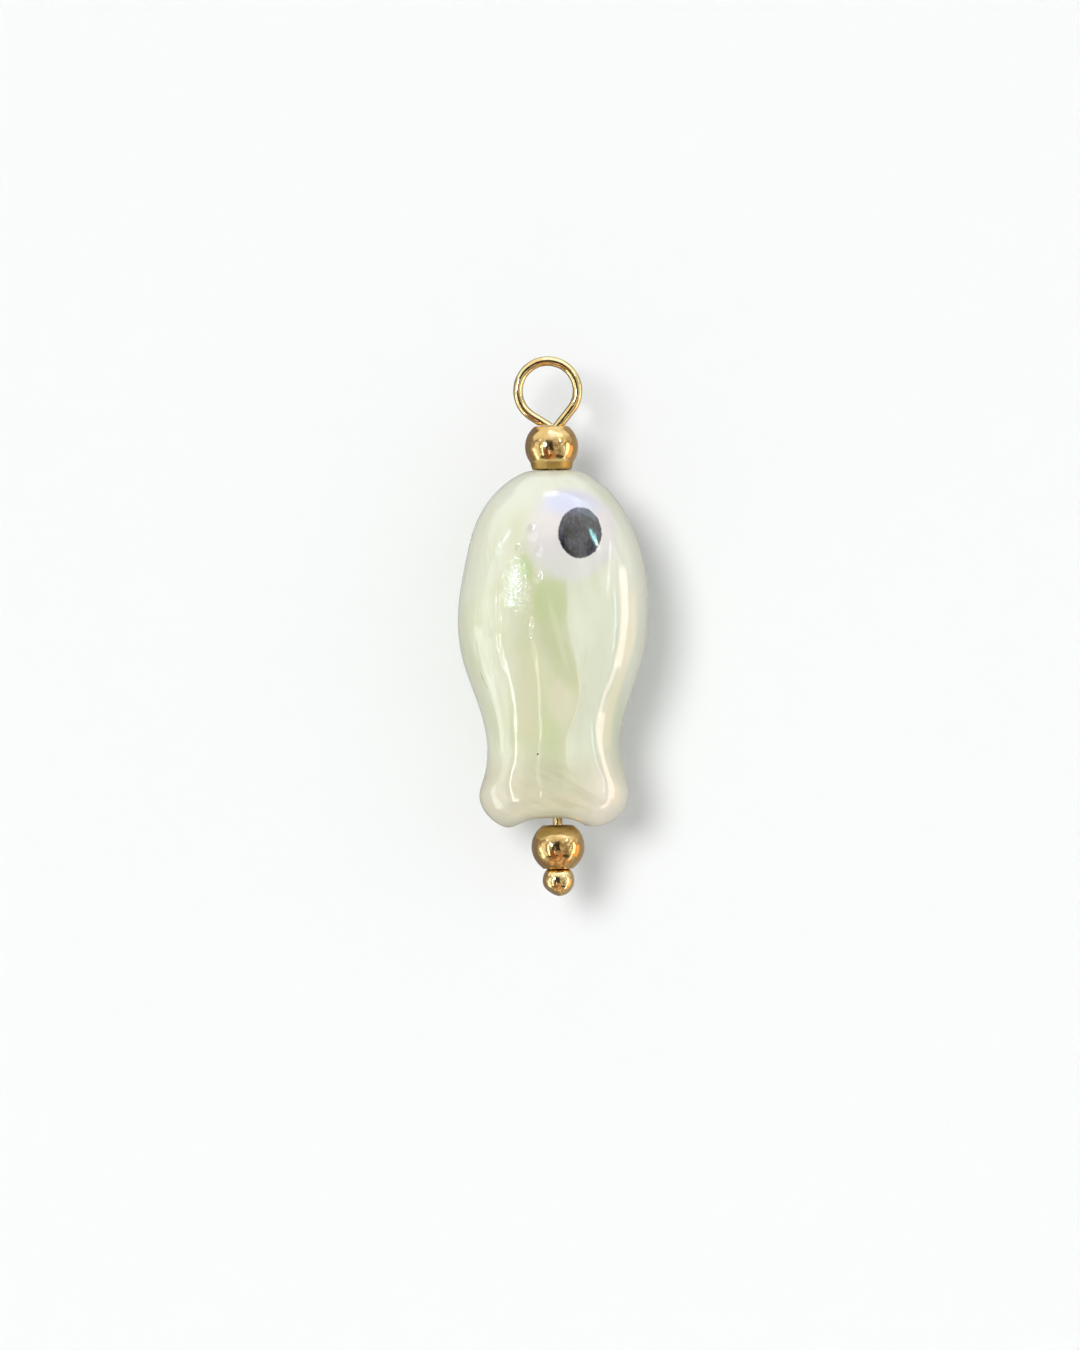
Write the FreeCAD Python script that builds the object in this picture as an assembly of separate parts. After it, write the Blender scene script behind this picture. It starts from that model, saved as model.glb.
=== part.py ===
import FreeCAD, Part
import math
import os

# A small hanging charm: a glazed ceramic fish bead between two gold spacer beads, strung
# on a gold wire pin with a turned loop at its top and a soldered ball at its bottom.
#
# Frame, in millimetres: the origin is the centre of the hanging loop, +Z is up along the
# pin, -Y is the front of the fish, and +X is on the right of someone who looks at it.
# The loop lies in the XZ plane, so its opening runs along Y. Heights are Z values, and
# the fish is drawn by how deep each point lies below its top.

# Wire pin: one piece of round wire, bent sideways above the beads and turned into a loop
WIRE_RADIUS = 0.275
PIN_X = 0.16  # the loop is turned slightly to one side, so the pin is off its centre
LOOP_RADIUS = 1.67  # to the middle of the wire
LOOP_END_ANGLE = 237.0  # degrees round from +X, where the wire runs straight to its end
TAIL_LENGTH = 1.2  # that straight run, which ends beside the neck
TAIL_TRIM_Z = -1.93  # the end is cut level, just clear of the bead below
NECK_CORNER_Z = -2.45  # where the middle lines of the pin and the slanting neck meet
NECK_BEND_RADIUS = 0.45

# Ball soldered on the wire's lower end
BALL_RADIUS = 0.92
BALL_Z = -27.42

# Spacer beads: 3 mm hollow-drilled round beads
BEAD_RADIUS = 1.5
BEAD_HOLE_RADIUS = 0.6
BEAD_EDGE_ROUND = 0.06
UPPER_BEAD_Z = -3.136
UPPER_BEAD_TOP_Z = -1.988
UPPER_BEAD_MOUTH_RADIUS = 0.8  # opened out, so that the bent neck clears it
UPPER_BEAD_MOUTH_DEPTH = 0.3
COLLAR_RADIUS = 1.12  # straight stretch at the upper bead's lower mouth
COLLAR_BOTTOM_Z = -4.42
LOWER_BEAD_Z = -25.55
LOWER_BEAD_TOP_Z = -24.35
LOWER_BEAD_BOTTOM_Z = -26.79
LOWER_BEAD_MOUTH_RADIUS = 0.75  # the ball sits in this mouth
LOWER_BEAD_MOUTH_DEPTH = 0.12

# Fish bead: head up, tail down, strung from mouth to tail
FISH_TOP_Z = -4.45
FISH_BORE_RADIUS = 0.75
FISH_BORE_MOUTH_RADIUS = 0.95
FISH_BORE_MOUTH_DEPTH = 0.25
TAIL_NOTCH_DEPTH = 19.56  # depth of the bore's lower mouth, between the tail's lobes
CAP_RADIUS = 0.5  # the outlines start and end this far from the pin, inside the bore
CAP_DEPTH = 0.06
FISH_RINGS = 40
RING_POINTS = 32
BODY_SQUARENESS = 2.35  # 2 is an ellipse, and more is fuller at the corners

# Outlines of the fish as (distance from the pin, depth below its top). The right and the
# left are its two edges seen from the front; the face is its front and back alike.
RIGHT_OUTLINE = [
    (CAP_RADIUS, CAP_DEPTH),
    (1.2, 0.01),
    (1.7, 0.1),
    (2.1, 0.33),
    (3.0, 1.0),
    (4.0, 2.35),
    (4.87, 4.37),
    (5.27, 7.5),
    (4.94, 10.4),
    (4.0, 13.1),
    (3.52, 15.15),
    (3.83, 17.2),
    (3.98, 18.2),
    (3.6, 19.25),
    (2.83, 19.86),
    (2.15, 20.05),
    (1.27, 19.87),
    (CAP_RADIUS, TAIL_NOTCH_DEPTH),
]
LEFT_OUTLINE = [
    (CAP_RADIUS, CAP_DEPTH),
    (1.2, 0.01),
    (1.6, 0.09),
    (1.95, 0.33),
    (3.04, 1.0),
    (4.02, 2.35),
    (4.77, 4.37),
    (5.42, 8.4),
    (5.21, 10.4),
    (4.3, 13.1),
    (3.83, 15.3),
    (4.08, 17.2),
    (4.33, 18.2),
    (4.1, 19.0),
    (3.5, 19.7),
    (2.78, 20.02),
    (1.9, 19.7),
    (1.1, 19.5),
    (CAP_RADIUS, TAIL_NOTCH_DEPTH),
]
FACE_OUTLINE = [
    (CAP_RADIUS, CAP_DEPTH),
    (1.1, 0.04),
    (1.6, 0.23),
    (2.2, 0.7),
    (3.0, 1.9),
    (3.7, 4.2),
    (4.0, 7.2),
    (3.8, 10.4),
    (3.25, 13.3),
    (2.9, 15.3),
    (2.85, 17.2),
    (2.75, 18.3),
    (2.3, 19.1),
    (1.5, 19.5),
    (CAP_RADIUS, TAIL_NOTCH_DEPTH),
]

# Painted eye, the same on the front and the back: a black pupil on a white patch
PAINT_THICKNESS = 0.12
PATCH_X = PIN_X + 1.0
PATCH_DEPTH = 3.65
PATCH_RADIUS = 2.5
PUPIL_X = PIN_X + 1.52
PUPIL_DEPTH = 3.51
PUPIL_HALF_WIDTH = 1.23
PUPIL_HALF_HEIGHT = 1.46


def point(x, z):
    return FreeCAD.Vector(x, 0, z)


def polar(radius, degrees):
    """A point of the loop's plane, at an angle round from +X."""
    turn = math.radians(degrees)
    return point(radius * math.cos(turn), radius * math.sin(turn))


def wire_path():
    """Middle line of the wire: up the pin, round the neck's bend, and round the loop."""
    corner = point(PIN_X, NECK_CORNER_Z)
    # The neck is the tangent from the corner to the right side of the loop's circle.
    neck_length = math.sqrt(corner.Length**2 - LOOP_RADIUS**2)
    to_centre = math.degrees(math.atan2(-corner.z, -corner.x))
    neck_angle = to_centre - math.degrees(math.asin(LOOP_RADIUS / corner.Length))
    neck = polar(1, neck_angle)
    loop_start_angle = neck_angle - 90

    half_turn = math.radians(90 - neck_angle) / 2
    tangent = NECK_BEND_RADIUS * math.tan(half_turn)
    bend_start = corner - point(0, tangent)
    bend_end = corner + neck * tangent
    bend_centre = bend_start + point(NECK_BEND_RADIUS, 0)
    to_corner = (corner - bend_centre).normalize()
    bend_middle = bend_centre + to_corner * NECK_BEND_RADIUS

    loop_start = corner + neck * neck_length
    loop_middle = polar(LOOP_RADIUS, (loop_start_angle + LOOP_END_ANGLE) / 2)
    loop_end = polar(LOOP_RADIUS, LOOP_END_ANGLE)
    return Part.Wire([
        Part.LineSegment(point(PIN_X, BALL_Z), bend_start).toShape(),
        Part.Arc(bend_start, bend_middle, bend_end).toShape(),
        Part.LineSegment(bend_end, loop_start).toShape(),
        Part.Arc(loop_start, loop_middle, loop_end).toShape(),
    ])


def wire_tail():
    """The straight end of the wire, from the loop down to the neck, with its end cut."""
    start = polar(LOOP_RADIUS, LOOP_END_ANGLE)
    run = polar(1, LOOP_END_ANGLE + 90)
    tail = Part.makeCylinder(WIRE_RADIUS, TAIL_LENGTH, start, run)
    size = 4 * LOOP_RADIUS
    corner = FreeCAD.Vector(-size / 2, -size / 2, TAIL_TRIM_Z - size)
    return tail.cut(Part.makeBox(size, size, size, corner))


def pin_wire():
    path = wire_path()
    end_circle = Part.Circle(point(PIN_X, BALL_Z), FreeCAD.Vector(0, 0, 1), WIRE_RADIUS)
    wire = path.makePipeShell([Part.Wire(end_circle.toShape())], True, False)
    print("wire: length", round(path.Length, 3), "volume", round(wire.Volume, 4),
          "section x length", round(math.pi * WIRE_RADIUS**2 * path.Length, 4))
    return wire.fuse(wire_tail()).removeSplitter()


def pin_ball():
    """The ball, with the blind hole that the end of the wire is soldered into."""
    ball = Part.makeSphere(BALL_RADIUS, point(PIN_X, BALL_Z))
    socket = Part.makeCylinder(WIRE_RADIUS, BALL_RADIUS, point(PIN_X, BALL_Z))
    return ball.cut(socket)


def sphere_slice(centre_z, bottom_z, top_z):
    """The part of a bead's sphere between two flat ends."""
    sphere = Part.makeSphere(BEAD_RADIUS, point(PIN_X, centre_z))
    band = Part.makeCylinder(BEAD_RADIUS, top_z - bottom_z, point(PIN_X, bottom_z))
    return sphere.common(band)


def rounded_ends(bead):
    """Round the outer edges of a bead's flat ends and of its collar."""
    rims = [edge for edge in bead.Edges if isinstance(edge.Curve, Part.Circle)
            and edge.Closed and edge.Curve.Radius < COLLAR_RADIUS + BEAD_EDGE_ROUND
            and abs(edge.Curve.Center.z - bead.BoundBox.Center.z) > bead.BoundBox.ZLength / 3]
    return bead.makeFillet(BEAD_EDGE_ROUND, rims)


def bore(radius, bottom_z, top_z):
    return Part.makeCylinder(radius, top_z - bottom_z, point(PIN_X, bottom_z))


def mouth(inner_radius, outer_radius, inner_z, outer_z):
    """A cone that opens a bore out towards its end."""
    depth = abs(outer_z - inner_z)
    direction = point(0, math.copysign(1, outer_z - inner_z))
    return Part.makeCone(inner_radius, outer_radius, depth, point(PIN_X, inner_z), direction)


def upper_spacer_bead():
    # The sphere's slice ends where its radius has come in to the collar's.
    collar_top_z = UPPER_BEAD_Z - math.sqrt(BEAD_RADIUS**2 - COLLAR_RADIUS**2)
    bead = sphere_slice(UPPER_BEAD_Z, collar_top_z, UPPER_BEAD_TOP_Z)
    collar = bore(COLLAR_RADIUS, COLLAR_BOTTOM_Z, collar_top_z)
    bead = rounded_ends(bead.fuse(collar).removeSplitter())
    bead = bead.cut(bore(BEAD_HOLE_RADIUS, COLLAR_BOTTOM_Z, UPPER_BEAD_TOP_Z))
    return bead.cut(mouth(BEAD_HOLE_RADIUS, UPPER_BEAD_MOUTH_RADIUS,
                          UPPER_BEAD_TOP_Z - UPPER_BEAD_MOUTH_DEPTH, UPPER_BEAD_TOP_Z))


def lower_spacer_bead():
    bead = rounded_ends(sphere_slice(LOWER_BEAD_Z, LOWER_BEAD_BOTTOM_Z, LOWER_BEAD_TOP_Z))
    bead = bead.cut(bore(BEAD_HOLE_RADIUS, LOWER_BEAD_BOTTOM_Z, LOWER_BEAD_TOP_Z))
    return bead.cut(mouth(BEAD_HOLE_RADIUS, LOWER_BEAD_MOUTH_RADIUS,
                          LOWER_BEAD_BOTTOM_Z + LOWER_BEAD_MOUTH_DEPTH, LOWER_BEAD_BOTTOM_Z))


def outline_stations(outline):
    """Evenly spaced (distance, depth) pairs along a smooth curve through an outline."""
    curve = Part.BSplineCurve()
    curve.interpolate([FreeCAD.Vector(distance, depth, 0) for distance, depth in outline])
    return [(p.x, p.y) for p in curve.toShape().discretize(Number=FISH_RINGS)]


def fish_ring(right, left, face, squareness):
    """One closed cross-line round the fish, through its two edges and its two faces."""
    points = []
    for step in range(RING_POINTS):
        turn = 2 * math.pi * step / RING_POINTS
        edge_distance, edge_depth = right if math.cos(turn) > 0 else left
        face_distance, face_depth = face
        across = abs(math.cos(turn) / edge_distance) ** squareness
        through = abs(math.sin(turn) / face_distance) ** squareness
        radius = (across + through) ** (-1 / squareness)
        x = radius * math.cos(turn)
        depth = face_depth + (edge_depth - face_depth) * (x / edge_distance) ** 2
        points.append(FreeCAD.Vector(PIN_X + x, radius * math.sin(turn), FISH_TOP_Z - depth))
    # The same spacing on every ring keeps the surface through them all light.
    spacing = [step / RING_POINTS for step in range(RING_POINTS + 1)]
    ring = Part.BSplineCurve()
    ring.interpolate(points, PeriodicFlag=True, Parameters=spacing)
    return Part.Wire(ring.toShape())


def fish_blank():
    """The whole fish, painted skin included, with its bore."""
    outlines = zip(*map(outline_stations, (RIGHT_OUTLINE, LEFT_OUTLINE, FACE_OUTLINE)))
    rings = []
    for number, (right, left, face) in enumerate(outlines):
        # Round at the bore's two mouths, and a little squarer between them.
        fullness = math.sin(math.pi * number / (FISH_RINGS - 1))
        rings.append(fish_ring(right, left, face, 2 + (BODY_SQUARENESS - 2) * fullness))
    body = Part.makeLoft(rings, True)

    bottom_z = FISH_TOP_Z - TAIL_NOTCH_DEPTH
    body = body.cut(bore(FISH_BORE_RADIUS, bottom_z - 1, FISH_TOP_Z + 1))
    for end_z, inward in ((FISH_TOP_Z, -1), (bottom_z, 1)):
        inner_z = end_z + inward * FISH_BORE_MOUTH_DEPTH
        body = body.cut(mouth(FISH_BORE_RADIUS, FISH_BORE_MOUTH_RADIUS, inner_z, end_z))
    return body


def paint_layer(fish, x, depth, half_width, half_height, side):
    """The skin of the fish inside an ellipse, on its front (side -1) or back (side 1)."""
    reach = 10.0
    column = Part.makeCylinder(1, reach, FreeCAD.Vector(0, 0, 0), FreeCAD.Vector(0, side, 0))
    stretch = FreeCAD.Matrix()
    stretch.scale(half_width, 1, half_height)
    column = column.transformGeometry(stretch)
    column.translate(point(x, FISH_TOP_Z - depth))
    core = fish.translated(FreeCAD.Vector(0, -side * PAINT_THICKNESS, 0))
    return fish.common(column).cut(core)


def painted_fish():
    """The fish bead and its painted eyes, as nodes that fill the fish between them."""
    blank = fish_blank()
    nodes = {}
    body = blank
    for face, side in (("front", -1), ("back", 1)):
        pupil = paint_layer(blank, PUPIL_X, PUPIL_DEPTH, PUPIL_HALF_WIDTH, PUPIL_HALF_HEIGHT, side)
        patch = paint_layer(blank, PATCH_X, PATCH_DEPTH, PATCH_RADIUS, PATCH_RADIUS, side)
        nodes["eye_pupil_" + face] = pupil
        nodes["eye_white_" + face] = patch.cut(pupil)
        body = body.cut(patch)
    nodes["fish_bead"] = body
    return nodes


parts = {
    "pin_wire": pin_wire(),
    "pin_ball": pin_ball(),
    "upper_spacer_bead": upper_spacer_bead(),
    "lower_spacer_bead": lower_spacer_bead(),
}
parts.update(painted_fish())

os.makedirs("parts", exist_ok=True)
for name, shape in parts.items():
    shape.exportStep("parts/" + name + ".step")
    print(name, "solids", len(shape.Solids), "valid", shape.isValid(),
          "volume", round(shape.Volume, 3))
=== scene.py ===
import math

import bpy
import numpy as np
from mathutils import Matrix, Quaternion, Vector, noise


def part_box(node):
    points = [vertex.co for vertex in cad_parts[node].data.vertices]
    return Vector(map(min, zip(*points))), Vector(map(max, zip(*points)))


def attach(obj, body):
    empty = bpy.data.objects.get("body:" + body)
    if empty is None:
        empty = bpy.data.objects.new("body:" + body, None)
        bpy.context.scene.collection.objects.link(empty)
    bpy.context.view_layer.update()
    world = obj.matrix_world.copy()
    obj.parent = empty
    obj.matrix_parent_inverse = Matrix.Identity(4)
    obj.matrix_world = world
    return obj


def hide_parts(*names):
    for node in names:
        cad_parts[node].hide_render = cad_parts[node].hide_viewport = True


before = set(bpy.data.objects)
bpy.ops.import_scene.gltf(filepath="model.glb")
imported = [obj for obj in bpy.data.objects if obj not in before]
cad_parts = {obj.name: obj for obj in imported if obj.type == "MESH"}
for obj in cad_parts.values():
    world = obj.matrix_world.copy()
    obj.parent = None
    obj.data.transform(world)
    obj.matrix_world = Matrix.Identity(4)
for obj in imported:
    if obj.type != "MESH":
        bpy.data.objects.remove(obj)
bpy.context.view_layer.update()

# The charm is drawn in millimetres and built in metres. Its places come from the CAD
# boxes: the pin's own line, the top of the loop, the top of the fish, the ball, and the
# ends of the beads.
MM = 0.001


def middle(node):
    """The centre of a CAD node's box, in millimetres."""
    low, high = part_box(node)
    return (Vector(low) + Vector(high)) / 2 / MM


def low_z(node):
    """The bottom of a CAD node's box, in millimetres."""
    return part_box(node)[0][2] / MM


def high_z(node):
    """The top of a CAD node's box, in millimetres."""
    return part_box(node)[1][2] / MM


PIN_X = middle("pin_ball").x
FISH_TOP = high_z("fish_bead")

# Wire
WIRE_RADIUS = 0.275
LOOP_RADIUS = high_z("pin_wire") - WIRE_RADIUS
NECK_CORNER_Z = -2.45
NECK_BEND_RADIUS = 0.45
LOOP_END_ANGLE = 237.0
TAIL_LENGTH = 1.2
TAIL_TRIM_Z = -1.93
WIRE_STEP = 0.06  # spacing of the rings along the wire
WIRE_SECTORS = 32
WIRE_DENT = 0.006  # pliers leave the turned wire very slightly uneven

# Ball
BALL_RINGS = 48
BALL_SECTORS = 64

# Spacer beads; their mouths are the radii of the hole's upper and lower ends
BEAD_RADIUS = 1.49
BEAD_HOLE = 0.6
BEAD_EDGE = 0.042  # height of the rounding where the ball is cut off
BEAD_SECTORS = 96
UPPER_BEAD_Z = -3.136  # the middle of its ball, above the collar
UPPER_BEAD_MOUTHS = (0.8, 0.66)
COLLAR_RADIUS = 1.115
SATIN_AND_REFLECTION_HEIGHT = 0.44  # how far above the fish its finish is rougher, and painted with a reflection of the fish
LOWER_BEAD_MOUTHS = (0.62, 0.74)
LOWER_BEAD_NARROWING = 0.06  # its lower half narrows a little more than a ball does

# Fish: outlines as (distance from the pin, depth below its top), from the bore's upper
# mouth over the outside and round into its lower mouth
FISH_BORE = 0.75
MOUTH_IN = [(FISH_BORE, 0.5), (0.78, 0.2), (0.92, 0.05)]
MOUTH_OUT = [(0.97, 19.46), (0.8, 19.37), (FISH_BORE, 19.1)]
RIGHT_OUTLINE = MOUTH_IN + [
    (1.2, 0.02),
    (1.7, 0.11),
    (2.1, 0.33),
    (3.0, 1.0),
    (4.0, 2.35),
    (4.87, 4.37),
    (5.27, 7.5),
    (4.97, 10.4),
    (4.06, 13.1),
    (3.6, 15.15),
    (3.86, 17.2),
    (4.02, 18.2),
    (3.66, 19.2),
    (2.85, 19.84),
    (2.15, 20.02),
    (1.4, 19.85),
] + MOUTH_OUT
LEFT_OUTLINE = MOUTH_IN + [
    (1.2, 0.02),
    (1.7, 0.16),
    (2.62, 0.7),
    (3.62, 1.7),
    (4.37, 3.04),
    (4.93, 5.04),
    (5.42, 8.4),
    (5.22, 10.4),
    (4.35, 13.1),
    (3.9, 15.3),
    (4.12, 17.2),
    (4.37, 18.2),
    (4.13, 19.0),
    (3.5, 19.68),
    (2.78, 19.99),
    (1.9, 19.7),
    (1.35, 19.53),
] + MOUTH_OUT
FACE_OUTLINE = MOUTH_IN + [
    (1.15, 0.05),
    (1.6, 0.23),
    (2.2, 0.7),
    (3.0, 1.9),
    (3.68, 4.2),
    (3.98, 7.2),
    (3.8, 10.4),
    (3.25, 13.3),
    (2.9, 15.3),
    (2.84, 17.2),
    (2.73, 18.3),
    (2.3, 19.02),
    (1.5, 19.42),
] + MOUTH_OUT
FISH_RINGS = 220
FISH_SECTORS = 168
FISH_SQUARENESS = 2.35
WAIST_DEPTH = 14.8
WAIST_REACH = 2.6
WAIST_RIDGE = 0.4  # how much less square the right side of the waist is
MOUTH_EDGE = 1.3  # nearer the pin than this, the glaze doesn't stand back
FISH_MIDDLE = FISH_TOP - 10  # halfway down the fish

# Painted eye: places from the pin's line and below the top of the fish
PATCH_X = 1.0
PATCH_DEPTH = 3.68
PATCH_HALF_WIDTH = 2.5
PATCH_HALF_HEIGHT = 2.6
PUPIL_X = 1.49
PUPIL_DEPTH = 3.6
PUPIL_HALF_WIDTH = 1.21
PUPIL_HALF_HEIGHT = 1.43


# ---- meshes ----

def add_piece(name, points, faces, body, nodes):
    """A smooth mesh piece, given in millimetres, that stands for some CAD nodes."""
    mesh = bpy.data.meshes.new(name)
    mesh.from_pydata([Vector(p) * MM for p in points], [], faces)
    mesh.polygons.foreach_set("use_smooth", [True] * len(mesh.polygons))
    mesh.update()
    piece = bpy.data.objects.new(name, mesh)
    bpy.context.scene.collection.objects.link(piece)
    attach(piece, body)
    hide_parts(*nodes)
    return piece


def ring_faces(rings, sectors, closed):
    """Quads between neighbouring rings, and from the last to the first if closed."""
    faces = []
    for ring in range(rings if closed else rings - 1):
        here, there = ring * sectors, (ring + 1) % rings * sectors
        for sector in range(sectors):
            beside = (sector + 1) % sectors
            faces.append((here + sector, here + beside, there + beside, there + sector))
    return faces


def capped(points, faces, sectors):
    """Closes both ends of a tube with fans round a centre point."""
    last = len(points) - sectors
    for start, flip in ((0, True), (last, False)):
        ring = points[start:start + sectors]
        centre = len(points)
        points.append(sum(ring, Vector()) / sectors)
        for sector in range(sectors):
            beside = (sector + 1) % sectors
            pair = (start + beside, start + sector) if flip else (start + sector, start + beside)
            faces.append((*pair, centre))
    return points, faces


def smooth_curve(outline, count):
    """Evenly spaced points on a natural cubic spline through an outline."""
    knots = np.array(outline, float)
    gaps = np.linalg.norm(np.diff(knots, axis=0), axis=1)
    at = np.concatenate([[0], np.cumsum(gaps)])
    size = len(knots)
    matrix = np.eye(size)
    wanted = np.zeros((size, 2))
    for i in range(1, size - 1):
        before, after = gaps[i - 1], gaps[i]
        matrix[i, i - 1:i + 2] = before, 2 * (before + after), after
        slopes = (knots[i + 1] - knots[i]) / after - (knots[i] - knots[i - 1]) / before
        wanted[i] = 6 * slopes
    bend = np.linalg.solve(matrix, wanted)

    def sample(where):
        i = np.clip(np.searchsorted(at, where) - 1, 0, size - 2)
        gap = gaps[i][:, None]
        right = (where - at[i])[:, None] / gap
        left = 1 - right
        line = left * knots[i] + right * knots[i + 1]
        curve = (left**3 - left) * bend[i] + (right**3 - right) * bend[i + 1]
        return line + curve * gap**2 / 6

    fine = sample(np.linspace(0, at[-1], 20 * count))
    length = np.concatenate([[0], np.cumsum(np.linalg.norm(np.diff(fine, axis=0), axis=1))])
    even = np.linspace(0, length[-1], count)
    return np.stack([np.interp(even, length, fine[:, k]) for k in (0, 1)], axis=1)


def hand_made(point):
    """How far the hand-finished glaze stands back on the faces of the fish, about 0.04."""
    low = noise.noise(Vector((point.x * 0.35, point.y * 0.35, point.z * 0.16 + 3.1)))
    high = noise.noise(Vector((point.x * 0.9 + 7.7, point.y * 0.9, point.z * 0.3)))
    return 0.045 + 0.03 * low + 0.008 * high


def section_power(number, depth, right_side):
    """How square the fish's section is: 2 is an ellipse, more is boxier."""
    power = 2 + (FISH_SQUARENESS - 2) * math.sin(math.pi * number / (FISH_RINGS - 1))
    if right_side:
        power -= WAIST_RIDGE * math.exp(-(((depth - WAIST_DEPTH) / WAIST_REACH) ** 2))
    return power


def make_fish():
    """The glazed body: rings between its outlines, joined by the wall of its bore."""
    rights = smooth_curve(RIGHT_OUTLINE, FISH_RINGS)
    lefts = smooth_curve(LEFT_OUTLINE, FISH_RINGS)
    front_and_back = smooth_curve(FACE_OUTLINE, FISH_RINGS)
    points = []
    for number in range(FISH_RINGS):
        across, depth = front_and_back[number]
        for sector in range(FISH_SECTORS):
            turn = -2 * math.pi * sector / FISH_SECTORS
            right_side = math.cos(turn) > 0
            edge, edge_depth = rights[number] if right_side else lefts[number]
            power = section_power(number, edge_depth, right_side)
            terms = abs(math.cos(turn) / edge) ** power + abs(math.sin(turn) / across) ** power
            radius = terms ** (-1 / power)
            x, y = radius * math.cos(turn), radius * math.sin(turn)
            z = FISH_TOP - depth - (edge_depth - depth) * (x / edge) ** 2
            points.append(Vector((PIN_X + x, y, z)))
    # The bore's wall joins the last ring to the first, which closes the surface.
    faces = ring_faces(FISH_RINGS, FISH_SECTORS, closed=True)
    fish = add_piece("fish", points, faces, "fish",
                     ("fish_bead", "eye_white_front", "eye_white_back",
                      "eye_pupil_front", "eye_pupil_back"))
    # Stand the outside back by a little everywhere, unevenly, as on a hand-finished bead.
    outwards = [vertex.normal.copy() for vertex in fish.data.vertices]
    for vertex, outward, place in zip(fish.data.vertices, outwards, points):
        from_pin = math.hypot(place.x - PIN_X, place.y)
        if from_pin > MOUTH_EDGE:
            facing = 0.1 + 0.9 * abs(outward.y)
            away = min(1, from_pin - MOUTH_EDGE)
            vertex.co -= outward * hand_made(place) * facing * away * MM
    return fish


def lathe(name, profile, body, nodes):
    """A closed ring of revolution round the pin, through (radius, z) points."""
    points = []
    for radius, z in profile:
        for sector in range(BEAD_SECTORS):
            turn = 2 * math.pi * sector / BEAD_SECTORS
            points.append(Vector((PIN_X + radius * math.cos(turn), radius * math.sin(turn), z)))
    faces = ring_faces(len(profile), BEAD_SECTORS, closed=True)
    return add_piece(name, points, faces, body, nodes)


def arc(centre, radius, start, end, steps):
    """(radius, z) points of an arc in a profile, its angles in degrees up from outwards."""
    angles = np.radians(np.linspace(start, end, steps))
    return [(centre[0] + radius * math.cos(a), centre[1] + radius * math.sin(a)) for a in angles]


def wire_line():
    """Middle line of the wire, from inside the ball up to the end of its tail."""
    corner = Vector((PIN_X, 0, NECK_CORNER_Z))
    away = math.atan2(-corner.z, -corner.x) - math.asin(LOOP_RADIUS / corner.length)
    neck = Vector((math.cos(away), 0, math.sin(away)))
    tangent = NECK_BEND_RADIUS * math.tan((math.pi / 2 - away) / 2)
    bottom = Vector((PIN_X, 0, middle("pin_ball").z))
    bend_start = corner - Vector((0, 0, tangent))

    line = []
    run = (bend_start - bottom).length
    for i in range(round(run / WIRE_STEP)):
        line.append(bottom + Vector((0, 0, i * WIRE_STEP)))
    steps = 8
    for i in range(steps + 1):
        angle = (math.pi / 2 - away) * i / steps
        around = Vector((1 - math.cos(angle), 0, math.sin(angle)))
        line.append(bend_start + NECK_BEND_RADIUS * around)
    neck_start = line[-1]
    neck_end = corner + neck * math.sqrt(corner.length**2 - LOOP_RADIUS**2)
    steps = round((neck_end - neck_start).length / WIRE_STEP)
    line += [neck_start.lerp(neck_end, i / steps) for i in range(1, steps)]
    start, end = away - math.pi / 2, math.radians(LOOP_END_ANGLE)
    steps = round((end - start) * LOOP_RADIUS / WIRE_STEP)
    for i in range(steps + 1):
        angle = start + (end - start) * i / steps
        line.append(LOOP_RADIUS * Vector((math.cos(angle), 0, math.sin(angle))))
    tail = Vector((-math.sin(end), 0, math.cos(end)))
    steps = round(TAIL_LENGTH / WIRE_STEP)
    loop_end = line[-1]
    line += [loop_end + tail * TAIL_LENGTH * i / steps for i in range(1, steps + 1)]
    return line


def make_wire():
    """The pin's wire: a tube along its middle line, with its tail cut level."""
    line = wire_line()
    tail_start = len(line) - round(TAIL_LENGTH / WIRE_STEP) - 1
    across = Vector((0, 1, 0))
    points = []
    for i, place in enumerate(line):
        ahead = (line[min(i + 1, len(line) - 1)] - line[max(i - 1, 0)]).normalized()
        side = across.cross(ahead)
        for sector in range(WIRE_SECTORS):
            angle = 2 * math.pi * sector / WIRE_SECTORS
            unevenness = noise.noise(Vector((i * 0.12, math.cos(angle), math.sin(angle))))
            out = side * math.cos(angle) + across * math.sin(angle)
            point = place + out * (WIRE_RADIUS - WIRE_DENT * (1 + unevenness))
            if i >= tail_start:
                point.z = max(point.z, TAIL_TRIM_Z)
            points.append(point)
    faces = ring_faces(len(line), WIRE_SECTORS, closed=False)
    points, faces = capped(points, faces, WIRE_SECTORS)
    return add_piece("wire", points, faces, "pin", ("pin_wire",))


def make_ball():
    """The soldered ball: nearly round, and slightly lumpy."""
    centre = middle("pin_ball")
    radius = (high_z("pin_ball") - low_z("pin_ball")) / 2
    points = []
    for ring in range(1, BALL_RINGS):
        tilt = math.pi * ring / BALL_RINGS
        for sector in range(BALL_SECTORS):
            turn = 2 * math.pi * sector / BALL_SECTORS
            out = Vector((math.sin(tilt) * math.cos(turn), math.sin(tilt) * math.sin(turn),
                          -math.cos(tilt)))
            lump = 0.006 + 0.008 * noise.noise(out * 1.4 + Vector((4.2, 0, 1)))
            # Flatter low on the left
            flat = max(0, out.dot(Vector((-0.55, -0.2, -0.81))) - 0.8)
            points.append(centre + out * (radius - lump - 0.35 * flat))
    faces = ring_faces(BALL_RINGS - 1, BALL_SECTORS, closed=False)
    points, faces = capped(points, faces, BALL_SECTORS)
    return add_piece("ball", points, faces, "pin", ("pin_ball",))


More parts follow.
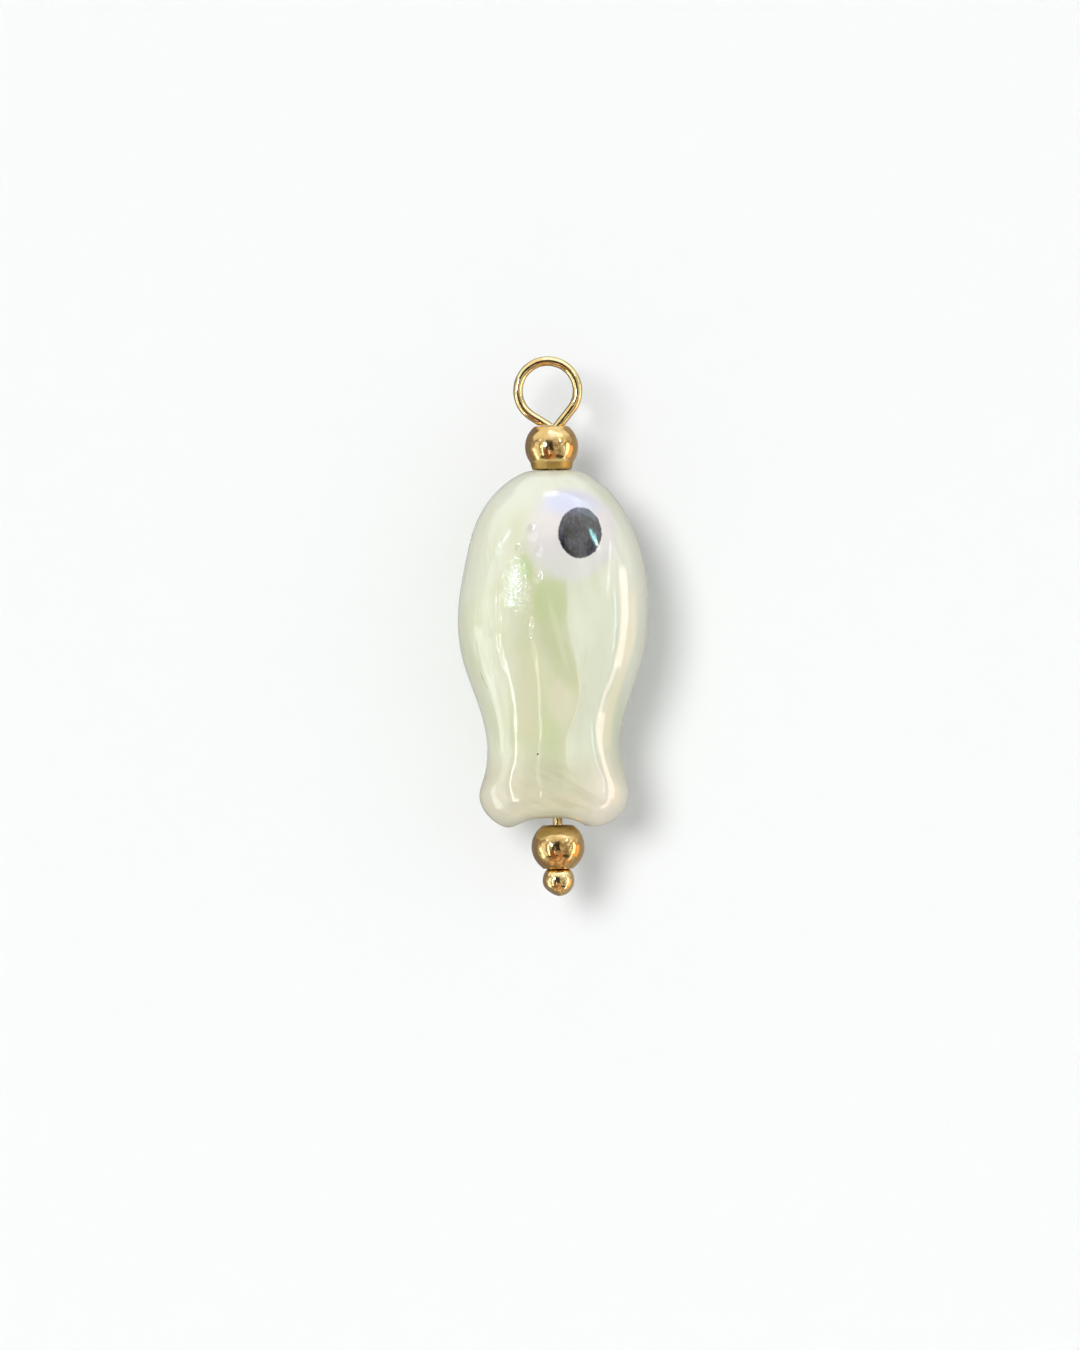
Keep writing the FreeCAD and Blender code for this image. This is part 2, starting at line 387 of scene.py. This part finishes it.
def bead_profile(centre, top, bottom, mouths, collar=None):
    """A spacer bead's section, from its upper mouth round the outside and up its hole."""
    upper_mouth, lower_mouth = mouths
    top_rim = math.sqrt(BEAD_RADIUS**2 - (top - centre) ** 2)
    top_angle = math.degrees(math.asin((top - centre - BEAD_EDGE) / BEAD_RADIUS))
    if collar:
        low_rim = collar
        low_angle = -math.degrees(math.acos((collar + 0.12) / BEAD_RADIUS))
        outside = arc((0, centre), BEAD_RADIUS, top_angle, low_angle, 60)
        shoulder = outside[-1][1]
        outside += [(collar + 0.1, shoulder - 0.02), (collar + 0.09, shoulder - 0.05),
                    (collar + 0.01, bottom + 0.08), (collar - 0.015, bottom + 0.03),
                    (collar - 0.06, bottom + 0.004)]
    else:
        low_angle = math.degrees(math.asin((bottom - centre + BEAD_EDGE) / BEAD_RADIUS))
        outside = []
        for radius, z in arc((0, centre), BEAD_RADIUS, top_angle, low_angle, 60):
            below = max(0, (centre - z) / BEAD_RADIUS)
            outside.append((radius * (1 - LOWER_BEAD_NARROWING * below**2), z))
        low_rim = outside[-1][0]
        outside.append((low_rim - 0.02, bottom + 0.01))
    return [
        (upper_mouth, top - 0.02),
        (upper_mouth + 0.03, top),
        (top_rim - 0.09, top),
        (top_rim - 0.03, top - 0.008),
        *outside,
        (max(lower_mouth + 0.02, low_rim - 0.1), bottom),
        (lower_mouth, bottom + 0.01),
        (BEAD_HOLE + 0.02, bottom + 0.14),
        (BEAD_HOLE, bottom + 0.2),
        (BEAD_HOLE, top - 0.35),
        (BEAD_HOLE + 0.03, top - 0.3),
    ]


def make_upper_bead():
    node = "upper_spacer_bead"
    profile = bead_profile(UPPER_BEAD_Z, high_z(node), low_z(node), UPPER_BEAD_MOUTHS,
                           collar=COLLAR_RADIUS)
    return lathe("bead_above", profile, "upper_bead", (node,))


def make_lower_bead():
    node = "lower_spacer_bead"
    profile = bead_profile(middle(node).z, high_z(node), low_z(node), LOWER_BEAD_MOUTHS)
    return lathe("bead_below", profile, "lower_bead", (node,))


# ---- materials ----

class Nodes:
    """A node tree built one named step at a time."""

    def __init__(self, tree):
        self.tree = tree

    def add(self, kind, *inputs, **settings):
        """A node, with its first inputs linked to sockets or set to values."""
        made = self.tree.nodes.new(kind)
        for name, value in settings.items():
            setattr(made, name, value)
        for socket, value in zip(made.inputs, inputs):
            self.feed(socket, value)
        return made

    def feed(self, socket, value):
        if isinstance(value, bpy.types.NodeSocket):
            self.tree.links.new(value, socket)
        elif value is not None:
            socket.default_value = value

    def maths(self, operation, *values):
        """One step of arithmetic."""
        return self.add("ShaderNodeMath", *values, operation=operation).outputs[0]

    def sum(self, *values):
        total = values[0]
        for value in values[1:]:
            total = self.maths("ADD", total, value)
        return total

    def times(self, *values):
        total = values[0]
        for value in values[1:]:
            total = self.maths("MULTIPLY", total, value)
        return total

    def ramp(self, value, low, high, start=0.0, end=1.0):
        """Goes smoothly from start to end as value goes from low to high."""
        made = self.add("ShaderNodeMapRange", value, low, high, start, end,
                        interpolation_type="SMOOTHSTEP")
        return made.outputs[0]

    def between(self, value, low, high, soft):
        """1 between two limits, falling to 0 over a soft distance outside them."""
        return self.times(self.ramp(value, low - soft, low),
                          self.ramp(value, high, high + soft, 1.0, 0.0))

    def mix(self, base, over, amount):
        """Colour over base, by amount."""
        made = self.add("ShaderNodeMix", data_type="RGBA")
        for name, value in (("Factor_Float", amount), ("A_Color", base), ("B_Color", over)):
            socket = next(s for s in made.inputs if s.identifier == name)
            self.feed(socket, value)
        return next(s for s in made.outputs if s.identifier == "Result_Color")


class Paint(Nodes):
    """A material whose lengths are millimetres, from the pin's line and the fish's top."""

    def __init__(self, name):
        self.material = bpy.data.materials.new(name)
        self.material.use_nodes = True
        super().__init__(self.material.node_tree)
        self.shader = self.tree.nodes["Principled BSDF"]
        place = self.add("ShaderNodeTexCoord").outputs["Object"]
        scaled = self.add("ShaderNodeVectorMath", place, operation="SCALE")
        scaled.inputs["Scale"].default_value = 1 / MM
        self.place = scaled.outputs[0]
        split = self.add("ShaderNodeSeparateXYZ", self.place)
        self.x = self.sum(split.outputs["X"], -PIN_X)
        self.y = split.outputs["Y"]
        self.depth = self.maths("SUBTRACT", FISH_TOP, split.outputs["Z"])
        self.front = self.ramp(self.y, -0.6, 0.6, 1.0, 0.0)

    def noise(self, size, detail=2.0, roughness=0.5, shift=(0, 0, 0), squeeze=(1, 1, 1)):
        """Noise of about 0.3 to 0.7, in blobs of about a size, longer where squeezed less."""
        mapped = self.add("ShaderNodeMapping", self.place, shift, None,
                          [s / size for s in squeeze])
        made = self.add("ShaderNodeTexNoise")
        self.feed(made.inputs["Vector"], mapped.outputs[0])
        self.feed(made.inputs["Scale"], 1.0)
        self.feed(made.inputs["Detail"], detail)
        self.feed(made.inputs["Roughness"], roughness)
        return made.outputs["Fac"]

    def wisps(self):
        """Noise drawn out along a line that goes down to the right."""
        turned = self.add("ShaderNodeMapping", self.place, None, (0, math.radians(-28), 0))
        across = self.add("ShaderNodeMapping", turned.outputs[0], (2, 6, 1), None, (0.3, 1.0, 1.6))
        made = self.add("ShaderNodeTexNoise", across.outputs[0])
        self.feed(made.inputs["Scale"], 0.8)
        self.feed(made.inputs["Detail"], 3.0)
        return made.outputs["Fac"]

    def sway(self, amount, *noise):
        """Noise of about an amount to either side of 0."""
        return self.times(self.sum(self.noise(*noise), -0.5), 4 * amount)

    def oval(self, x, depth, half_width, half_height, lean=0.0, wobble=0.0):
        """Distance from the middle of an oval on the fish's faces: 1 on its rim.

        Its middle line goes to the right by lean for each millimetre down.
        """
        down = self.sum(self.depth, -depth)
        across = self.sum(self.x, -x, self.times(down, -lean))
        across, down = self.times(across, 1 / half_width), self.times(down, 1 / half_height)
        squares = self.sum(self.times(across, across), self.times(down, down))
        return self.sum(self.maths("SQRT", squares), wobble)

    def spot(self, *oval, soft=0.6):
        """1 inside an oval, fading out across its rim."""
        return self.ramp(self.oval(*oval), 1 - soft / 2, 1 + soft / 2, 1.0, 0.0)

    def bump(self, height, distance):
        """A normal that raises the surface by height times a distance in millimetres."""
        made = self.add("ShaderNodeBump")
        self.feed(made.inputs["Strength"], 1.0)
        self.feed(made.inputs["Distance"], distance * MM)
        self.feed(made.inputs["Height"], height)
        return made.outputs[0]

    def set(self, **values):
        """Shader inputs by name, with _ for a space."""
        for name, value in values.items():
            self.feed(self.shader.inputs[name.replace("_", " ")], value)


def colour(text):
    """A linear colour from the way it is written on a screen, such as C5D69B."""
    values = [int(text[i:i + 2], 16) / 255 for i in (0, 2, 4)]
    return (*[v / 12.92 if v <= 0.04045 else ((v + 0.055) / 1.055) ** 2.4 for v in values], 1)


def green_body(paint, drift, cloud):
    """Pale green glaze, deeper where it ran thick and paler where it thins, with painted light on
    top and round the rim.
    """
    base = paint.mix(colour("D2D7B2"), colour("DCDFC6"), paint.ramp(cloud, 0.35, 0.65))
    # Paler towards the top: painted light, standing in for the bright reflection from above
    top = paint.times(paint.ramp(paint.depth, 3.2, 0.4), 0.8)
    base = paint.mix(base, colour("E8EBDB"), top)
    # Greyer green round the left side below the middle
    left = paint.times(paint.spot(-4.3, 12.6, 1.0, 3.4, 0.35, drift, soft=1.2), 0.45)
    base = paint.mix(base, colour("C3C8A2"), left)
    # Paler round the sides: painted light that evens out their shading, where the glaze also thins
    sides = paint.ramp(paint.maths("ABSOLUTE", paint.y), 2.0, 0.2, 0.0, 0.8)
    base = paint.mix(base, colour("EFF1DA"), sides)
    # Deeper green where the glaze ran thick: down the middle of each face, and in patches
    middle_run = paint.times(paint.spot(-0.7, 11.0, 1.9, 6.6, 0.03, drift, soft=1.1), 0.7)
    base = paint.mix(base, colour("C9CB9B"), middle_run)
    for x, depth, half_width, half_height, lean, amount in (
            (-0.2, 7.3, 0.85, 1.4, 0.0, 0.6),
            (-1.5, 5.5, 0.4, 0.7, 0.1, 0.7),
            (-0.4, 14.6, 0.5, 1.9, 0.04, 0.38),
            (3.4, 14.6, 0.5, 2.3, 0.0, 0.55),
            (-0.9, 7.4, 0.2, 1.2, 0.0, 0.4)):
        green = paint.spot(x, depth, half_width, half_height, lean, drift, soft=1.0)
        base = paint.mix(base, colour("B4C87A"), paint.times(green, amount))
    return base


def milky_right_and_sheen(paint, base, drift):
    """Cooler and milkier on the right, up to a wavering edge: partly the glaze's colour, partly a
    painted reflection of its lustre.
    """
    edge = paint.sum(paint.ramp(paint.depth, 8.4, 12.2, 0.66, 1.33),
                     paint.ramp(paint.depth, 12.6, 15.3, 0.0, -0.75),
                     paint.ramp(paint.depth, 16.2, 19.0, 0.0, 0.8),
                     paint.sway(0.05, 1.2, 2, 0.5))
    from_edge = paint.maths("SUBTRACT", paint.x, edge)
    # The milky colour here is in part a painted reflection of the lustre
    mint_and_sheen = paint.times(paint.ramp(from_edge, -0.04, 0.14), paint.ramp(paint.x, 3.0, 4.2, 1, 0),
                       paint.ramp(paint.depth, 5.0, 6.6), paint.ramp(paint.depth, 17.0, 19.5, 1, 0))
    base = paint.mix(base, colour("DBE0C6"), paint.times(mint_and_sheen, 0.85))
    # A darker leaf shape against the upper part of that edge, and a paler tongue below it
    left_of_edge = paint.ramp(from_edge, -0.06, 0.03, 1, 0)
    leaf = paint.spot(0.35, 10.6, 0.65, 1.9, 0.4, paint.sway(0.25, 0.8), soft=1.1)
    base = paint.mix(base, colour("B5C084"), paint.times(left_of_edge, leaf, 0.5))
    tongue = paint.spot(0.35, 13.2, 0.75, 1.1, 0.1, drift, soft=0.9)
    base = paint.mix(base, colour("DAD5B4"), paint.times(left_of_edge, tongue, 0.7))
    # A pale run above them, and a pale seam along the lower part of the edge
    pale_run = paint.spot(0.1, 8.9, 0.16, 1.7, 0.25, drift, soft=1.4)
    base = paint.mix(base, colour("DCDDB6"), paint.times(pale_run, 0.4))
    seam = paint.times(paint.ramp(paint.maths("ABSOLUTE", from_edge), 0.02, 0.07, 1, 0),
                       paint.between(paint.depth, 11.6, 17.5, 0.6))
    return paint.mix(base, colour("EDE4CF"), paint.times(seam, 0.6))


def thin_tail_and_glow(paint, base, drift, cloud):
    """Beige where the glaze thins over the tail, cream-pink lobes whose right one is partly a
    painted highlight, and brownish wisps.
    """
    low = paint.sum(paint.depth, paint.times(cloud, 2.0))
    base = paint.mix(base, colour("CBC6A2"), paint.times(paint.ramp(low, 16.2, 18.6), 0.8))
    # Paler lobes; the right one's bright cream-pink is in part a painted highlight, a soft glow of
    # light on it
    for x, tone in ((-3.1, "D3CCB2"), (2.9, "EDE4D0")):
        lobe = paint.spot(x, 18.6, 1.6, 2.2, 0.0, drift, soft=1.2)
        base = paint.mix(base, colour(tone), paint.times(lobe, 0.8))
    # Darker streaks down the whole body
    streak = paint.noise(1.1, 3, 0.6, (5, 2, 0), (1, 1, 0.14))
    base = paint.mix(base, colour("BDB98A"), paint.times(paint.ramp(streak, 0.5, 0.72), 0.15))
    # The wisps run across the tail, down to the right
    wisps = paint.times(paint.ramp(paint.wisps(), 0.5, 0.66),
                        paint.spot(-0.2, 18.0, 2.6, 1.7, 0.0, drift, soft=0.9))
    return paint.mix(base, colour("B3AC80"), paint.times(wisps, 0.4))


def painted_sheen(paint, base):
    """Milkier to the right of the eye, a painted reflection, and down the right side, painted light
    against its shading; and a little all over.
    """
    # A painted reflection to the right of the eye
    sheen_by_eye = paint.spot(3.3, 4.6, 1.1, 2.4, 0.25, soft=1.4)
    base = paint.mix(base, colour("EAEBDA"), paint.times(sheen_by_eye, 0.7))
    # Painted light down the right side, where the shading falls off
    right_side = paint.ramp(paint.x, 3.0, 4.4)
    base = paint.mix(base, colour("F0F2E0"), paint.times(right_side, 0.65))
    return paint.mix(base, colour("F7F7F2"), 0.16)


def painted_eye(paint, base):
    """A soft white patch, with a painted reflection in lavender above the pupil, and the pupil with
    its brush strokes.
    """
    fuzz = paint.sway(0.035, 1.1, 2, 0.5)
    patch = paint.oval(PATCH_X, PATCH_DEPTH, PATCH_HALF_WIDTH, PATCH_HALF_HEIGHT, 0.0, fuzz)
    fade = paint.ramp(paint.x, -1.6, 0.8, 0.3, 0.12)
    inside = paint.ramp(paint.maths("SUBTRACT", 1.0, patch), paint.times(fade, -1), fade)
    white = paint.mix(colour("E6E0E0"), colour("DFDFD9"), paint.ramp(paint.depth, 3.8, 5.6))
    # Lavender over the patch above the pupil: a painted reflection of the light from above
    lavender = paint.spot(1.0, 1.9, 1.6, 0.8, 0.4, soft=1.2)
    white = paint.mix(white, colour("C9CEEA"), paint.times(lavender, 0.7))
    base = paint.mix(base, white, paint.times(inside, 0.93))

    ragged = paint.sway(0.035, 0.16, 3, 0.7, (0, 0, 0), (1, 1, 0.5))
    pupil = paint.oval(PUPIL_X, PUPIL_DEPTH, PUPIL_HALF_WIDTH, PUPIL_HALF_HEIGHT, 0.0, ragged)
    strokes = paint.noise(0.2, 3, 0.75, (0, 0, 0), (1, 1, 0.7))
    ink = paint.mix(colour("15181F"), colour("42475A"), paint.ramp(strokes, 0.34, 0.7))
    return paint.mix(base, ink, paint.ramp(pupil, 0.96, 1.03, 1, 0))


def small_marks(paint, base):
    """A brown speck and a short hair crack, only on the front."""
    speck = paint.times(paint.spot(-1.05, 15.87, 0.05, 0.06, soft=0.5), paint.front)
    base = paint.mix(base, colour("5A4630"), speck)
    leaning = paint.times(paint.sum(paint.depth, -11.7), -0.42)
    from_crack = paint.maths("ABSOLUTE", paint.sum(paint.x, 4.0, leaning, paint.sway(0.04, 0.3)))
    crack = paint.times(paint.ramp(from_crack, 0.01, 0.035, 1, 0),
                        paint.between(paint.depth, 11.3, 12.1, 0.15), paint.front)
    return paint.mix(base, colour("8C7350"), paint.times(crack, 0.6))


def rubbed_area(paint):
    """1 in the pitted, rubbed area left of the middle of the front."""
    wobble = paint.sway(0.3, 0.4)
    return paint.times(paint.spot(-2.05, 6.4, 0.75, 1.5, 0.1, wobble, soft=0.9), paint.front)


def glaze_height(paint, rubbed):
    """The relief of the glaze, in millimetres."""
    waves = paint.noise(1.3, 2, 0.5, (3, 3, 9), (1, 1, 0.4))
    height = paint.times(waves, 0.03)
    # Pinholes and dimples in the front
    for x, depth, size in (
            (-0.94, 5.95, 0.2),
            (-1.42, 8.5, 0.2),
            (-1.42, 9.1, 0.15),
            (-1.15, 3.55, 0.22),
            (-0.8, 4.6, 0.14),
            (-1.9, 4.5, 0.14)):
        dimple = paint.times(paint.spot(x, depth, size, size * 1.5, soft=1.6), paint.front)
        height = paint.sum(height, paint.times(dimple, -0.08))
    # Pits in the rubbed area, and combed lines down the left of the front
    height = paint.sum(height, paint.times(paint.noise(0.22, 2, 0.6), rubbed, 0.02))
    combed = paint.times(paint.noise(0.3, 2, 0.55, (9, 1, 4), (1, 1, 0.05)), paint.front,
                         paint.spot(-3.9, 7.6, 1.3, 4.2, 0.0, soft=1.0))
    return paint.sum(height, paint.times(combed, 0.05))


def glaze():
    """Pale green lustre glaze, with the eye painted under it on both faces."""
    paint = Paint("green_lustre_glaze")
    drift = paint.sway(0.35, 2.4, 3, 0.55, (0, 0, 0), (1, 1, 0.35))
    cloud = paint.noise(3.5, 2, 0.5, (1, 7, 3))
    base = green_body(paint, drift, cloud)
    base = milky_right_and_sheen(paint, base, drift)
    base = thin_tail_and_glow(paint, base, drift, cloud)
    base = painted_sheen(paint, base)
    base = painted_eye(paint, base)
    base = small_marks(paint, base)

    rubbed = rubbed_area(paint)
    grain = paint.ramp(paint.noise(0.1, 2, 0.6), 0.5, 0.56)
    rough = paint.sum(0.1, paint.times(rubbed, paint.maths("SUBTRACT", 1.0, grain), 0.3))
    paint.set(Base_Color=base, Roughness=rough, IOR=1.5,
              Normal=paint.bump(glaze_height(paint, rubbed), 1.0),
              Subsurface_Weight=0.25, Subsurface_Radius=(1.0, 0.9, 0.6),
              Subsurface_Scale=0.4 * MM, Thin_Film_Thickness=85.0, Thin_Film_IOR=1.75)
    return paint.material


def gold(name, pale, deep, tarnish, roughness, satin_and_reflection=0.0):
    """Polished gold plate, with a slight drift of colour and fine rubbing marks.

    The collar just above the fish is rougher than the rest, and khaki as a painted reflection of
    the fish, by an amount.
    """
    paint = Paint(name)
    drift = paint.ramp(paint.noise(1.1, 3, 0.55, (2, 8, 1)), 0.35, 0.65)
    base = paint.mix(colour(pale), colour(deep), drift)
    stain = paint.ramp(paint.noise(0.45, 3, 0.6, (7, 1, 5)), 0.56, 0.74)
    base = paint.mix(base, colour(tarnish), paint.times(stain, 0.5))
    marks = paint.noise(0.12, 2, 0.6, (0, 0, 0), (1, 1, 0.3))
    # The khaki on the collar is a painted reflection of the fish just below; its added roughness is
    # a duller finish
    collar = paint.times(paint.between(paint.depth, -SATIN_AND_REFLECTION_HEIGHT, 0.0, 0.03), satin_and_reflection)
    base = paint.mix(base, colour("C9AC62"), collar)
    rough = paint.sum(roughness, paint.times(marks, 0.1), paint.times(stain, 0.08),
                      paint.times(collar, 0.36))
    dents = paint.noise(0.5, 2, 0.5, (4, 4, 4))
    paint.set(Base_Color=base, Metallic=1.0, Roughness=rough, Normal=paint.bump(dents, 0.02))
    return paint.material


# ---- stage ----

WALL_Y = 5.7  # just behind the fish, clear of it as it spins
FLOOR_Z = -70.0
STAGE_SIZE = 3000.0
LAMP_DISTANCE = 0.5  # in metres


def stage_plane(name, material, place, tilt):
    """A large square sheet, which faces up, or faces the front when tilted by 90 degrees."""
    mesh = bpy.data.meshes.new(name)
    half = STAGE_SIZE / 2 * MM
    corners = [(-half, -half, 0), (half, -half, 0), (half, half, 0), (-half, half, 0)]
    mesh.from_pydata(corners, [], [(0, 1, 2, 3)])
    mesh.materials.append(material)
    plane = bpy.data.objects.new(name, mesh)
    turn = Matrix.Rotation(math.radians(tilt), 4, "X")
    plane.matrix_world = Matrix.Translation(Vector(place) * MM) @ turn
    plane.visible_glossy = False
    bpy.context.scene.collection.objects.link(plane)


def pale_surface(name, see_through_back):
    """Plain pale paint; the wall's can be seen through from behind."""
    material = bpy.data.materials.new(name)
    material.use_nodes = True
    nodes = Nodes(material.node_tree)
    nodes.tree.nodes.clear()
    surface = nodes.add("ShaderNodeBsdfDiffuse", (0.86, 0.87, 0.87, 1)).outputs[0]
    if see_through_back:
        behind = nodes.add("ShaderNodeNewGeometry").outputs["Backfacing"]
        clear = nodes.add("ShaderNodeBsdfTransparent").outputs[0]
        surface = nodes.add("ShaderNodeMixShader", behind, surface, clear).outputs[0]
    nodes.add("ShaderNodeOutputMaterial", surface)
    return material


def aim(lamp, target):
    """Turns a lamp to face a target."""
    lamp.rotation_mode = "QUATERNION"
    lamp.rotation_quaternion = (target - lamp.location).to_track_quat("-Z", "Y")


def softbox(name, azimuth, elevation, wide, tall, radiance, tint, lean=0.0):
    """A lamp that only shows in reflections, by its direction and angular size in degrees."""
    a, e = math.radians(azimuth), math.radians(elevation)
    data = bpy.data.lights.new(name, "AREA")
    data.shape = "RECTANGLE"
    data.size = 2 * LAMP_DISTANCE * math.tan(math.radians(wide / 2))
    data.size_y = 2 * LAMP_DISTANCE * math.tan(math.radians(tall / 2))
    data.energy = radiance * data.size * data.size_y * math.pi
    data.color = tint
    lamp = bpy.data.objects.new(name, data)
    target = Vector((PIN_X, 0, FISH_MIDDLE)) * MM
    direction = Vector((math.sin(a) * math.cos(e), -math.cos(a) * math.cos(e), math.sin(e)))
    lamp.location = target + LAMP_DISTANCE * direction
    aim(lamp, target)
    lamp.rotation_quaternion @= Quaternion((0, 0, 1), math.radians(lean))
    lamp.visible_camera = False
    lamp.visible_diffuse = False
    bpy.context.scene.collection.objects.link(lamp)


def sun(name, place, strength, spread):
    """A soft distant lamp in the direction of a place, unseen in reflections."""
    data = bpy.data.lights.new(name, "SUN")
    data.energy = strength
    data.angle = math.radians(spread)
    lamp = bpy.data.objects.new(name, data)
    lamp.location = Vector(place) * 0.1
    aim(lamp, Vector())
    lamp.visible_glossy = False
    bpy.context.scene.collection.objects.link(lamp)


def make_lights():
    """Two soft lamps in front and one behind, and the bright shapes that the glaze mirrors."""
    sun("key", (-2.1, -6.5, 1.3), 1.68, 22)
    sun("fill", (6.5, -6.0, 0.5), 0.36, 60)
    sun("back", (3.0, 6.0, 2.5), 0.9, 40)

    pink, white, blue = (1.0, 0.72, 0.7), (0.9, 0.95, 1.0), (0.52, 0.72, 1.0)
    cyan, violet = (0.35, 0.85, 1.0), (0.35, 0.42, 1.0)
    softbox("right_strip", 75, -6, 15, 40, 2.5, pink)
    softbox("right_strip_low", 73, -38, 7, 28, 2.2, pink)
    softbox("right_line", 57, -6, 1.8, 26, 4.5, blue)
    softbox("right_core", 42, 27, 3.5, 7, 9.0, cyan)
    softbox("right_core_heart", 43, 24, 1.6, 3.0, 14.0, white)
    softbox("right_join", 55, 16, 2.0, 28, 2.4, white, lean=-46)
    softbox("left_line", -44, -14, 3.0, 44, 4.8, white)
    softbox("left_core", -29, 10, 9, 12, 17.0, blue)
    softbox("left_high", -54, 27, 14, 3, 3.0, blue, lean=30)
    softbox("left_panel", -66, -10, 20, 56, 0.6, white)
    softbox("left_far_line", -82, -22, 13, 40, 1.6, white)
    softbox("left_rim", -168, 4, 10, 26, 0.4, blue)
    softbox("middle_line", -13.5, -25, 1.2, 18, 4.0, white)
    softbox("middle_line_low", -13.5, -8, 1.2, 12, 1.6, white)
    softbox("overhead", 17, 54, 34, 23, 0.9, violet, lean=-16)
    softbox("overhead_edge", 22, 62, 38, 6, 0.8, blue, lean=-16)
    softbox("overhead_side", 50, 47, 22, 16, 1.0, blue, lean=-20)
    softbox("small_window", -6, 67, 7, 7, 2.0, white)


def seen_in_polish(room, direction):
    """A room with a dark figure in front and warm tones at its sides and below, bright above.

    Each patch lies between two directions round and two heights, in degrees.
    """
    split = room.add("ShaderNodeSeparateXYZ", direction)
    away = room.maths("MULTIPLY", split.outputs["Y"], -1.0)
    azimuth = room.times(room.maths("ARCTAN2", split.outputs["X"], away), 180 / math.pi)
    height = room.times(room.maths("ARCSINE", split.outputs["Z"]), 180 / math.pi)

    seen = room.mix((0.68, 0.65, 0.58, 1), (1.05, 1.04, 1.02, 1), room.ramp(height, 8, 42))
    seen = room.mix(seen, (0.85, 0.56, 0.37, 1), room.ramp(height, -46, -56))
    clutter = room.add("ShaderNodeTexNoise", direction)
    room.feed(clutter.inputs["Scale"], 4.5)
    room.feed(clutter.inputs["Detail"], 3.0)
    dim = room.times(room.ramp(clutter.outputs["Fac"], 0.56, 0.44), room.ramp(height, 40, 20))
    seen = room.mix(seen, (0.2, 0.14, 0.1, 1), room.times(dim, 0.75))
    for left, right, low, high, soft, tone in (
            (-60, 60, -44, -36, 4, (0.06, 0.06, 0.05, 1)),
            (84, 108, -30, 2, 5, (1.3, 0.75, 0.36, 1)),
            (-25, 6, -14, 22, 4, (0.05, 0.035, 0.03, 1)),
            (-36, -10, -52, -16, 5, (0.32, 0.14, 0.07, 1)),
            (2, 22, -50, -30, 5, (0.6, 0.3, 0.2, 1)),
            (-190, -104, -90, 50, 6, (0.26, 0.23, 0.24, 1)),
            (110, 190, -90, 50, 6, (0.42, 0.38, 0.36, 1))):
        patch = room.times(room.between(azimuth, left, right, soft),
                           room.between(height, low, high, soft))
        seen = room.mix(seen, tone, patch)
    return seen


def make_world():
    """An even pale room, apart from what polish sees of it."""
    world = bpy.data.worlds.new("studio")
    bpy.context.scene.world = world
    world.use_nodes = True
    room = Nodes(world.node_tree)
    seen = seen_in_polish(room, room.add("ShaderNodeTexCoord").outputs["Generated"])
    path = room.add("ShaderNodeLightPath")
    plain, backdrop = (0.475, 0.475, 0.475, 1), (0.82, 0.83, 0.83, 1)
    shown = room.mix(plain, seen, path.outputs["Is Glossy Ray"])
    shown = room.mix(shown, backdrop, path.outputs["Is Camera Ray"])
    room.feed(room.tree.nodes["Background"].inputs["Color"], shown)


def make_camera():
    """Straight in front and far off, rolled by a degree so that the charm leans."""
    distance = 350.0
    frame_height = 75.7
    middle_x, middle_z = -0.693, -15.92
    roll = 0.93
    data = bpy.data.cameras.new("camera")
    camera = bpy.data.objects.new("camera", data)
    data.sensor_width = 36
    data.lens = data.sensor_width * distance / frame_height
    data.clip_start = 0.01
    data.clip_end = 10
    camera.location = Vector((middle_x, -distance, middle_z)) * MM
    camera.rotation_euler = (math.radians(90), math.radians(roll), 0)
    bpy.context.scene.collection.objects.link(camera)
    bpy.context.scene.camera = camera


make_fish().data.materials.append(glaze())
wire_gold = gold("pale_gold_wire", "FCEBAE", "F5D898", "E6AC7E", 0.05)
for piece in (make_wire(), make_ball()):
    piece.data.materials.append(wire_gold)
bead_gold = gold("warm_gold_bead", "EED193", "E2BE7B", "A88252", 0.08, satin_and_reflection=0.9)
for piece in (make_upper_bead(), make_lower_bead()):
    piece.data.materials.append(bead_gold)

stage_plane("wall", pale_surface("pale_wall", True), (0, WALL_Y, 0), 90)
stage_plane("floor", pale_surface("pale_floor", False), (0, 0, FLOOR_Z), 0)
make_lights()
make_world()
make_camera()
bpy.context.scene.view_settings.view_transform = "Standard"
